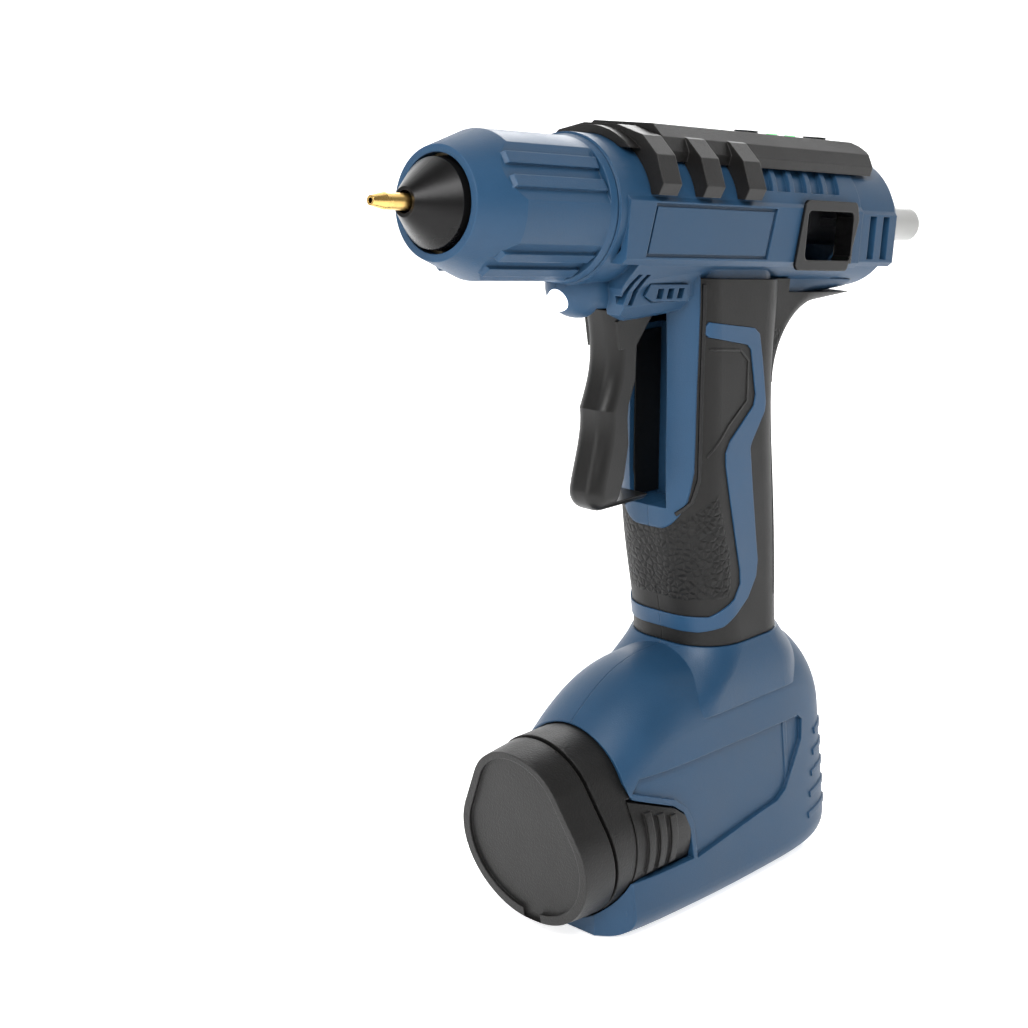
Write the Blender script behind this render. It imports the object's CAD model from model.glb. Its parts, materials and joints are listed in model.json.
import json
import math

import bmesh
import bpy
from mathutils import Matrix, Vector
from mathutils.bvhtree import BVHTree


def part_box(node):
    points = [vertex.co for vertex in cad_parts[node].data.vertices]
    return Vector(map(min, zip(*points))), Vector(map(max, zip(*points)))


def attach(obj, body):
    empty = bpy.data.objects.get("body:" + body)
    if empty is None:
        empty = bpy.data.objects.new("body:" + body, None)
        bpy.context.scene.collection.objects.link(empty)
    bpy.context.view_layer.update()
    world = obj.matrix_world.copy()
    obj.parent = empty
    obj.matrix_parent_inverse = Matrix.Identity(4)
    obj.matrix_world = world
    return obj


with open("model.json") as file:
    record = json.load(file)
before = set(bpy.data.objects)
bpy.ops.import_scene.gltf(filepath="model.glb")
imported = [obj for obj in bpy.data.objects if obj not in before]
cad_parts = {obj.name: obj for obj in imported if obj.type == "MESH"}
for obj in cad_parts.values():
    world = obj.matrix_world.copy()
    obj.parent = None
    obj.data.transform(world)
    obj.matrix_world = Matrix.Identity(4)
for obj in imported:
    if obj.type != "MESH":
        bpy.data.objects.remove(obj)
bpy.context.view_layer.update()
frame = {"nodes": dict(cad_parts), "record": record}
mm = 0.001
sides = ((-1, "left"), (1, "right"))

print("frame loaded")

# the drawing's origin sits on the barrel axis, found from the trigger pin
gun = {"pinX": 50.0, "pinZ": -29.0, "barrelTilt": math.radians(6.0)}
pinLow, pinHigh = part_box("trigger_pin")
pinCentre = (pinLow + pinHigh) / 2
origin = pinCentre - Vector((gun["pinX"], 0, gun["pinZ"])) * mm


def upright(x, y, z):
    return origin + Vector((x, y, z)) * mm


def alongBarrel(s, y, h):
    c, n = math.cos(gun["barrelTilt"]), math.sin(gun["barrelTilt"])
    return origin + Vector((s * c + h * n, y, -s * n + h * c)) * mm


# finishes

finishes = {
    "housing_blue": {"colour": (0.012, 0.046, 0.098), "rough": 0.44, "grain": 2600, "depth": 0.10,
                     "edge": 0.5, "edgeLift": 0.35, "shade": 0.45, "mottle": 0.08},
    "accent_blue": {"colour": (0.013, 0.050, 0.108), "rough": 0.36, "grain": 2600, "depth": 0.05,
                    "edge": 0.45, "edgeLift": 0.4, "shade": 0.4, "mottle": 0.06},
    "badge_blue": {"colour": (0.011, 0.043, 0.092), "rough": 0.34, "grain": 2200, "depth": 0.04,
                   "edge": 0.3, "edgeLift": 0.3, "shade": 0.5, "mottle": 0.06},
    "cover_black": {"colour": (0.0065, 0.006, 0.0058), "rough": 0.44, "grain": 2400, "depth": 0.12,
                    "edge": 0.5, "edgeLift": 0.9, "shade": 0.3, "mottle": 0.10},
    "trigger_black": {"colour": (0.0045, 0.0043, 0.0041), "rough": 0.36, "grain": 2000, "depth": 0.05,
                      "edge": 0.5, "edgeLift": 0.6, "shade": 0.3, "mottle": 0.10},
    "battery_black": {"colour": (0.0055, 0.0052, 0.005), "rough": 0.46, "grain": 1700, "depth": 0.22,
                      "edge": 0.6, "edgeLift": 0.8, "shade": 0.3, "mottle": 0.10},
    "key_black": {"colour": (0.009, 0.009, 0.0095), "rough": 0.38, "grain": 2200, "depth": 0.05,
                  "edge": 0.3, "edgeLift": 0.6, "shade": 0.3, "mottle": 0.08},
    "frame_gloss": {"colour": (0.003, 0.003, 0.0032), "rough": 0.14, "grain": 700, "depth": 0.02,
                    "edge": 0.5, "edgeLift": 0.6, "shade": 0.2, "mottle": 0.05},
    "cone_black": {"colour": (0.008, 0.0078, 0.008), "rough": 0.27, "grain": 900, "depth": 0.03,
                   "edge": 0.3, "edgeLift": 1.2, "shade": 0.3, "mottle": 0.08, "metal": 0.55},
    "nozzle_brass": {"colour": (0.80, 0.52, 0.17), "rough": 0.26, "grain": 1300, "depth": 0.06,
                     "edge": 0.15, "edgeLift": 0.2, "shade": 0.5, "mottle": 0.12, "metal": 1.0},
    "cast_aluminium": {"colour": (0.55, 0.55, 0.57), "rough": 0.5, "grain": 1400, "depth": 0.2,
                       "edge": 0.3, "edgeLift": 0.2, "shade": 0.4, "mottle": 0.12, "metal": 1.0},
    "spring_steel": {"colour": (0.5, 0.5, 0.52), "rough": 0.3, "grain": 1500, "depth": 0.04,
                     "edge": 0.2, "edgeLift": 0.2, "shade": 0.4, "mottle": 0.1, "metal": 1.0},
    "heater_ceramic": {"colour": (0.75, 0.73, 0.68), "rough": 0.4, "grain": 900, "depth": 0.06,
                       "edge": 0.2, "edgeLift": 0.1, "shade": 0.4, "mottle": 0.08},
    "heat_resin": {"colour": (0.4, 0.32, 0.2), "rough": 0.5, "grain": 1200, "depth": 0.08,
                   "edge": 0.3, "edgeLift": 0.2, "shade": 0.4, "mottle": 0.1},
    "guide_resin": {"colour": (0.035, 0.036, 0.04), "rough": 0.4, "grain": 1500, "depth": 0.05,
                    "edge": 0.3, "edgeLift": 0.5, "shade": 0.3, "mottle": 0.08},
    "terminal_resin": {"colour": (0.06, 0.06, 0.06), "rough": 0.45, "grain": 1500, "depth": 0.05,
                       "edge": 0.3, "edgeLift": 0.4, "shade": 0.3, "mottle": 0.08},
    "board_green": {"colour": (0.02, 0.12, 0.05), "rough": 0.3, "grain": 500, "depth": 0.05,
                    "edge": 0.1, "edgeLift": 0.3, "shade": 0.3, "mottle": 0.2},
    "cell_wrap": {"colour": (0.05, 0.22, 0.4), "rough": 0.25, "grain": 300, "depth": 0.04,
                  "edge": 0.3, "edgeLift": 0.3, "shade": 0.3, "mottle": 0.05},
    "silicone": {"colour": (0.42, 0.06, 0.04), "rough": 0.55, "grain": 1000, "depth": 0.06,
                 "edge": 0.4, "edgeLift": 0.2, "shade": 0.3, "mottle": 0.08},
    "foot_rubber": {"colour": (0.022, 0.022, 0.022), "rough": 0.7, "grain": 1600, "depth": 0.15,
                    "edge": 0.4, "edgeLift": 0.4, "shade": 0.3, "mottle": 0.1},
    "grip_rubber": {"colour": (0.0048, 0.0045, 0.0042), "rough": 0.5, "grain": 2200, "depth": 0.10,
                    "edge": 0.4, "edgeLift": 0.7, "shade": 0.3, "mottle": 0.12},
    "glue": {"colour": (0.42, 0.42, 0.41), "rough": 0.32, "grain": 350, "depth": 0.03,
             "edge": 0.3, "edgeLift": 0.05, "shade": 0.15, "mottle": 0.03, "clear": 0.25},
    "light_pipe": {"colour": (0.16, 0.62, 0.22), "rough": 0.3, "grain": 900, "depth": 0.02,
                   "edge": 0.2, "edgeLift": 0.2, "shade": 0.2, "mottle": 0.05, "glow": 0.6},
    "lens_clear": {"colour": (0.92, 0.95, 1.0), "rough": 0.2, "grain": 900, "depth": 0.02,
                   "edge": 0.2, "edgeLift": 0.1, "shade": 0.1, "mottle": 0.02, "glow": 3.0},
}

# values that every finish shares: edge wear, broad smears, shade in hollows and fine grain
surface = {"edgeFlat": 0.995, "edgeTurned": 0.86, "edgeFloor": 0.004, "smearSize": 38.0, "smearLow": 0.3,
           "smearHigh": 0.7, "hollowReach": 2.4, "hollowLow": 0.15, "hollowHigh": 0.75, "roughLess": 0.05,
           "roughMore": 0.06, "grainRoughness": 0.6, "bump": 0.6, "sheen": 0.3}

# moulded scales on the rubber: where they lie and how deep they are
scales = {"size": 470.0, "depth": 0.5, "brow": (46.0, -98.0, -0.5), "rise": (54.0, -102.0, 0.667),
          "peak": (72.0, -90.0, 0.3), "farX": 77.8, "lowZ": -122.5, "rearStart": 102.6, "rearTop": -44.0,
          "rearLow": -127.0}


class Graph:
    # small helper that adds nodes and joins them
    def __init__(self, material):
        material.use_nodes = True
        self.tree = material.node_tree
        self.shader = self.tree.nodes["Principled BSDF"]

    def add(self, kind, settings=None, inputs=None):
        node = self.tree.nodes.new(kind)
        for key, value in (settings or {}).items():
            setattr(node, key, value)
        for key, value in (inputs or {}).items():
            self.put(node.inputs[key], value)
        return node

    def put(self, socket, value):
        if isinstance(value, bpy.types.NodeSocket):
            self.tree.links.new(value, socket)
        else:
            socket.default_value = value

    def math(self, operation, a, b=0.0, clamp=False):
        node = self.add("ShaderNodeMath", {"operation": operation, "use_clamp": clamp}, {0: a, 1: b})
        return node.outputs[0]

    def ramp(self, value, low, high, toLow=0.0, toHigh=1.0):
        node = self.add("ShaderNodeMapRange", {"clamp": True}, {
            "Value": value, "From Min": low, "From Max": high, "To Min": toLow, "To Max": toHigh})
        return node.outputs["Result"]

    def mix(self, factor, a, b):
        node = self.add("ShaderNodeMix", {"data_type": "RGBA"})
        self.put(node.inputs["Factor"], factor)
        self.put(node.inputs["A"], a)
        self.put(node.inputs["B"], b)
        return node.outputs["Result"]


def scaleHeight(graph, place):
    # height of the moulded scales, and where on the grip they are
    cells = graph.add("ShaderNodeTexVoronoi", {"feature": "DISTANCE_TO_EDGE"},
                      {"Vector": place, "Scale": scales["size"], "Randomness": 0.85})
    pillow = graph.ramp(cells.outputs["Distance"], 0.03, 0.28)
    split = graph.add("ShaderNodeSeparateXYZ", inputs={"Vector": place})
    x, z = split.outputs["X"], split.outputs["Z"]
    soft = 0.6 * mm
    def above(value, edge):
        return graph.ramp(value, edge - soft, edge + soft)
    def below(value, edge):
        return graph.ramp(value, edge - soft, edge + soft, 1.0, 0.0)
    def underLine(line):
        # below a line that starts at (x, z) and climbs with the given slope
        start = upright(line[0], 0, line[1])
        level = graph.math("SUBTRACT", z, graph.math("MULTIPLY", x, line[2]))
        return below(level, start.z - start.x * line[2])
    front = graph.math("MAXIMUM", underLine(scales["brow"]), underLine(scales["rise"]))
    peak = upright(scales["peak"][0], 0, scales["peak"][1])
    steep = graph.math("ADD", x, graph.math("MULTIPLY", z, scales["peak"][2]))
    front = graph.math("MULTIPLY", front, below(steep, peak.x + peak.z * scales["peak"][2]))
    front = graph.math("MULTIPLY", front, below(x, upright(scales["farX"], 0, 0).x))
    front = graph.math("MULTIPLY", front, above(z, upright(0, 0, scales["lowZ"]).z))
    rear = graph.math("MULTIPLY", above(x, upright(scales["rearStart"], 0, 0).x),
                      below(z, upright(0, 0, scales["rearTop"]).z))
    rear = graph.math("MULTIPLY", rear, above(z, upright(0, 0, scales["rearLow"]).z))
    zone = graph.math("ADD", front, rear, clamp=True)
    return graph.math("MULTIPLY", pillow, zone), zone


def makeFinish(name, look):
    material = bpy.data.materials.new(name)
    graph = Graph(material)
    shader = graph.shader
    place = graph.add("ShaderNodeTexCoord").outputs["Object"]
    rounded = graph.add("ShaderNodeBevel", {"samples": 4}, {"Radius": look["edge"] * mm})
    flat = graph.add("ShaderNodeNewGeometry").outputs["Normal"]
    facing = graph.add("ShaderNodeVectorMath", {"operation": "DOT_PRODUCT"},
                       {0: rounded.outputs["Normal"], 1: flat}).outputs["Value"]
    edges = graph.ramp(facing, surface["edgeFlat"], surface["edgeTurned"])
    broad = graph.add("ShaderNodeTexNoise",
                      inputs={"Vector": place, "Scale": surface["smearSize"], "Detail": 4.0})
    smear = graph.ramp(broad.outputs["Fac"], surface["smearLow"], surface["smearHigh"],
                       1 - look["mottle"], 1 + look["mottle"])
    hollow = graph.add("ShaderNodeAmbientOcclusion", {"samples": 5},
                       {"Distance": surface["hollowReach"] * mm})
    shadeTone = graph.ramp(hollow.outputs["AO"], surface["hollowLow"], surface["hollowHigh"],
                           1 - look["shade"], 1.0)
    tone = graph.math("MULTIPLY", smear, shadeTone)
    colour = tuple(look["colour"]) + (1.0,)
    lift = 1 + look["edgeLift"]
    lifted = tuple(min(1.0, c * lift + surface["edgeFloor"]) for c in look["colour"]) + (1.0,)
    body = graph.mix(edges, colour, lifted)
    toned = graph.add("ShaderNodeVectorMath", {"operation": "SCALE"}, {0: body, "Scale": tone})
    tint = toned.outputs["Vector"]

    fine = graph.add("ShaderNodeTexNoise", inputs={"Vector": place, "Scale": float(look["grain"]),
                                                   "Detail": 2.0, "Roughness": surface["grainRoughness"]})
    height = fine.outputs["Fac"]
    roughness = graph.ramp(broad.outputs["Fac"], surface["smearLow"], surface["smearHigh"],
                           look["rough"] - surface["roughLess"], look["rough"] + surface["roughMore"])
    if name == "grip_rubber":
        pattern, zone = scaleHeight(graph, place)
        groove = graph.math("SUBTRACT", zone, pattern, clamp=True)
        tint = graph.mix(graph.math("MULTIPLY", groove, 0.75), tint, (0.002, 0.002, 0.002, 1.0))
        pattern = graph.math("MULTIPLY", pattern, scales["depth"] / max(look["depth"], 0.01))
        height = graph.math("ADD", height, pattern)
        roughness = graph.math("ADD", roughness, graph.math("MULTIPLY", zone, 0.05))
    graph.put(shader.inputs["Base Color"], tint)
    graph.put(shader.inputs["Roughness"], roughness)
    shader.inputs["Specular IOR Level"].default_value = surface["sheen"]
    bump = graph.add("ShaderNodeBump", inputs={"Height": height, "Distance": look["depth"] * mm,
                                               "Strength": surface["bump"],
                                               "Normal": rounded.outputs["Normal"]})
    graph.put(shader.inputs["Normal"], bump.outputs["Normal"])
    shader.inputs["Metallic"].default_value = look.get("metal", 0.0)
    if "clear" in look:
        shader.inputs["Transmission Weight"].default_value = look["clear"]
        shader.inputs["IOR"].default_value = 1.48
        shader.inputs["Subsurface Weight"].default_value = 0.3
        shader.inputs["Subsurface Radius"].default_value = (0.004, 0.004, 0.004)
        shader.inputs["Subsurface Scale"].default_value = 1.0
    if "glow" in look:
        shader.inputs["Emission Color"].default_value = colour
        shader.inputs["Emission Strength"].default_value = look["glow"]
    return material


made = {name: makeFinish(name, look) for name, look in finishes.items()}
slotOf = {entry["node"]: entry["material_slot"] for entry in frame["record"]["subparts"]}
for nodeName, thing in frame["nodes"].items():
    finish = made[slotOf[nodeName]]
    if not thing.material_slots:
        thing.data.materials.append(finish)
    for place in thing.material_slots:
        place.material = finish

print("finishes on", len(slotOf), "nodes")


# pieces added to the frame

def addPiece(name, corners, faces, slotName, body, smooth=False):
    mesh = bpy.data.meshes.new(name)
    mesh.from_pydata([tuple(c) for c in corners], [], faces)
    mesh.update()
    shape = bmesh.new()
    shape.from_mesh(mesh)
    bmesh.ops.recalc_face_normals(shape, faces=shape.faces)
    shape.to_mesh(mesh)
    shape.free()
    for face in mesh.polygons:
        face.use_smooth = smooth
    piece = bpy.data.objects.new(name, mesh)
    bpy.context.scene.collection.objects.link(piece)
    piece.data.materials.append(made[slotName])
    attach(piece, body)
    return piece


def skinOf(nodeNames):
    # one search tree over several CAD nodes, for laying details on their outside
    corners, faces = [], []
    for nodeName in nodeNames:
        mesh = frame["nodes"][nodeName].data
        first = len(corners)
        corners += [v.co.copy() for v in mesh.vertices]
        faces += [[first + i for i in face.vertices] for face in mesh.polygons]
    return BVHTree.FromPolygons(corners, faces)


def resample(path, step):
    points = []
    for a, b in zip(path, path[1:]):
        count = max(1, int(math.hypot(b[0] - a[0], b[1] - a[1]) / step))
        points += [(a[0] + (b[0] - a[0]) * i / count, a[1] + (b[1] - a[1]) * i / count) for i in range(count)]
    return points + [path[-1]]


beadForm = {"reach": 60.0, "root": -0.25, "shoulder": 0.7}


def layBead(name, path, side, skin, look, slotName, body, placeOf):
    # a low bead that follows a side-view path over the outside of the skin
    found = []
    for a, b in resample(path, look["step"]):
        start = placeOf(a, side * beadForm["reach"], b)
        hit, normal = skin.ray_cast(start, Vector((0, -side, 0)))[:2]
        if hit is not None:
            if normal.y * side < 0:
                normal = -normal
            found.append((hit, normal))
    corners, faces = [], []
    half = look["width"] * mm / 2
    rise = look["rise"] * mm
    root = beadForm["root"] * mm
    top = half * beadForm["shoulder"]
    profile = ((-half, root), (-top, rise), (top, rise), (half, root))
    for i, (hit, normal) in enumerate(found):
        before, after = found[max(i - 1, 0)][0], found[min(i + 1, len(found) - 1)][0]
        across = normal.cross((after - before).normalized()).normalized()
        corners += [hit + across * u + normal * v for u, v in profile]
    for i in range(len(found) - 1):
        for k in range(3):
            a = 4 * i + k
            faces.append((a, a + 1, a + 5, a + 4))
    last = 4 * (len(found) - 1)
    faces += [(0, 1, 2, 3), (last, last + 1, last + 2, last + 3)]
    return addPiece(name, corners, faces, slotName, body)


# ribs on the rear shoulders of the base
baseRibs = {"width": 2.6, "rise": 0.45, "step": 0.8, "count": 5, "startX": 120.0, "endX": 127.4,
            "topZ": -177.0, "pitch": 6.6, "slant": 1.6, "lean": 1.7}
housingSkin = skinOf(["left_housing", "right_housing"])
for side, hand in sides:
    for i in range(baseRibs["count"]):
        z = baseRibs["topZ"] - i * baseRibs["pitch"]
        path = [(baseRibs["startX"] - baseRibs["lean"] * i, z), (baseRibs["endX"], z + baseRibs["slant"])]
        layBead("%sBaseRib%d" % (hand, i + 1), path, side, housingSkin, baseRibs, "housing_blue", "housing",
                upright)
print("base ribs laid")


# glossy border behind the column, pad outline and texture border on the grip
gripSkin = skinOf(["left_housing", "right_housing", "left_grip_skin", "right_grip_skin"])
columnEdge = {"width": 1.5, "rise": 0.5, "step": 2.0,
              "path": [(65.6, -26.0), (65.6, -84.0), (64.2, -91.0), (60.4, -97.0), (56.0, -101.0)]}
palmPad = {"width": 0.9, "rise": 0.28, "step": 2.0,
           "path": [(67.6, -45.2), (81.3, -47.1), (85.2, -50.6), (85.0, -62.7), (76.5, -69.0), (67.6, -77.6)]}
rearSeam = {"width": 0.8, "rise": 0.25, "step": 2.0,
            "path": [(102.0, -50.0), (101.6, -90.0), (101.8, -127.0)]}
for side, hand in sides:
    layBead(hand + "ColumnEdge", columnEdge["path"], side, gripSkin, columnEdge, "frame_gloss",
            "housing", upright)
    layBead(hand + "PalmPad", palmPad["path"], side, gripSkin, palmPad, "trigger_black", "housing", upright)
    layBead(hand + "RearSeam", rearSeam["path"], side, gripSkin, rearSeam, "trigger_black",
            "housing", upright)
print("grip lines laid")


# dark liner inside the trigger slot, only where the slot has a wall behind it
slotLiner = {"half": 7.0, "inset": 0.06, "thick": 0.3, "rearX": 73.4, "topZ": -42.0, "lowZ": -92.0,
             "step": 2.0, "lead": 1.6, "startX": 50.0, "scan": 0.5, "slack": 0.15, "leastDepth": 3.0}
rows = []
z = slotLiner["topZ"]
while z >= slotLiner["lowZ"]:
    x = slotLiner["startX"]
    while x < slotLiner["rearX"]:
        hit = housingSkin.ray_cast(upright(x, 0, z), Vector((0, -1, 0)))[0]
        if hit is not None and abs(-hit.y / mm - slotLiner["half"]) < slotLiner["slack"]:
            break
        x += slotLiner["scan"]
    if x < slotLiner["rearX"] - slotLiner["leastDepth"]:
        rows.append((x + slotLiner["lead"], z))
    z -= slotLiner["step"]
for side, hand in sides:
    outer = side * (slotLiner["half"] - slotLiner["inset"])
    inner = side * (slotLiner["half"] - slotLiner["inset"] - slotLiner["thick"])
    corners, faces = [], []
    for x, z in rows:
        corners += [upright(x, inner, z), upright(slotLiner["rearX"], inner, z),
                    upright(slotLiner["rearX"], outer, z), upright(x, outer, z)]
    for i in range(len(rows) - 1):
        for k in range(4):
            a, b = 4 * i + k, 4 * i + (k + 1) % 4
            faces.append((a, b, b + 4, a + 4))
    last = 4 * (len(rows) - 1)
    faces += [(0, 1, 2, 3), (last, last + 1, last + 2, last + 3)]
    addPiece(hand + "SlotLiner", corners, faces, "trigger_black", "housing")
print("slot lined,", len(rows), "rows")


# arrows on the light pipes
arrow = {"length": 4.0, "width": 2.8, "rise": 0.35, "seat": 25.25, "sink": 0.1}
for i in (1, 2):
    low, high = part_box("status_light_%d" % i)
    middle = (low + high) / 2
    local = middle - origin
    s = (local.x * math.cos(gun["barrelTilt"]) - local.z * math.sin(gun["barrelTilt"])) / mm
    top = arrow["seat"]
    outline = [(-arrow["length"] / 2, 0), (arrow["length"] / 2, arrow["width"] / 2),
               (arrow["length"] / 2, -arrow["width"] / 2)]
    corners = [alongBarrel(s + a, b, top - arrow["sink"]) for a, b in outline]
    corners += [alongBarrel(s + a, b, top + arrow["rise"]) for a, b in outline]
    addPiece("lightArrow%d" % i, corners, [(0, 1, 2), (3, 4, 5), (0, 1, 4, 3), (1, 2, 5, 4), (2, 0, 3, 5)],
             "light_pipe", "housing")
print("light arrows set")


# floor, light and camera

studio = {"floor": (0.93, 0.93, 0.93), "lift": 0.76, "floorSize": 2000, "backdropSize": 60,
          "backdropPlace": (8, 8, 0), "backdropTurn": (math.pi / 2, 0, -math.pi / 4),
          "world": (1.0, 1.0, 1.0), "worldPower": 0.26, "aim": (0, 0, 0.13)}
bpy.ops.mesh.primitive_plane_add(size=studio["floorSize"], location=(0, 0, 0))
floor = bpy.context.object
floor.name = "floor"
floorFinish = bpy.data.materials.new("floor")
floorGraph = Graph(floorFinish)
floorGraph.shader.inputs["Base Color"].default_value = studio["floor"] + (1.0,)
floorGraph.shader.inputs["Roughness"].default_value = 0.9
floorGraph.shader.inputs["Emission Color"].default_value = (1.0, 1.0, 1.0, 1.0)
floorGraph.shader.inputs["Emission Strength"].default_value = studio["lift"]
floor.data.materials.append(floorFinish)

bpy.ops.mesh.primitive_plane_add(size=studio["backdropSize"], location=studio["backdropPlace"],
                                 rotation=studio["backdropTurn"])
backdrop = bpy.context.object
backdrop.name = "backdrop"
backdropFinish = bpy.data.materials.new("backdrop")
backdropGraph = Graph(backdropFinish)
backdropGraph.shader.inputs["Base Color"].default_value = studio["floor"] + (1.0,)
backdropGraph.shader.inputs["Emission Color"].default_value = (1.0, 1.0, 1.0, 1.0)
backdropGraph.shader.inputs["Emission Strength"].default_value = studio["lift"]
backdrop.data.materials.append(backdropFinish)

world = bpy.data.worlds.new("studio")
bpy.context.scene.world = world
world.use_nodes = True
world.node_tree.nodes["Background"].inputs["Color"].default_value = studio["world"] + (1.0,)
world.node_tree.nodes["Background"].inputs["Strength"].default_value = studio["worldPower"]

lamps = {
    "sun": {"kind": "SUN", "place": (-0.8, -0.35, 1.2), "angle": 0.5, "power": 0.7},
    "key": {"kind": "AREA", "place": (-0.48, -0.32, 0.62), "size": 0.35, "power": 5.0},
    "side": {"kind": "AREA", "place": (-1.0, 0.3, 0.35), "size": 0.4, "power": 2.0},
    "rim": {"kind": "AREA", "place": (0.8, 0.5, 0.6), "size": 0.4, "power": 3.0},
}
aim = Vector(studio["aim"])
for name, look in lamps.items():
    lamp = bpy.data.lights.new(name, look["kind"])
    lamp.energy = look["power"]
    if look["kind"] == "SUN":
        lamp.angle = look["angle"]
    else:
        lamp.size = look["size"]
    holder = bpy.data.objects.new(name, lamp)
    holder.location = look["place"]
    holder.rotation_euler = (aim - Vector(look["place"])).to_track_quat("-Z", "Y").to_euler()
    bpy.context.scene.collection.objects.link(holder)

view = {"place": (-0.44452, -0.3562, 0.2692), "azimuth": 46.378, "pitch": 14.951,
        "lens": 67.195, "sensor": 36.0, "nearest": 0.01}
eye = bpy.data.cameras.new("camera")
eye.lens = view["lens"]
eye.sensor_width = view["sensor"]
camera = bpy.data.objects.new("camera", eye)
camera.location = view["place"]
a, p = math.radians(view["azimuth"]), math.radians(view["pitch"])
towards = Vector((math.sin(a) * math.cos(p), math.cos(a) * math.cos(p), -math.sin(p)))
camera.rotation_euler = towards.to_track_quat("-Z", "Y").to_euler()
eye.clip_start = view["nearest"]
bpy.context.scene.collection.objects.link(camera)
bpy.context.scene.camera = camera
bpy.context.scene.view_settings.view_transform = "Standard"
print("studio ready")
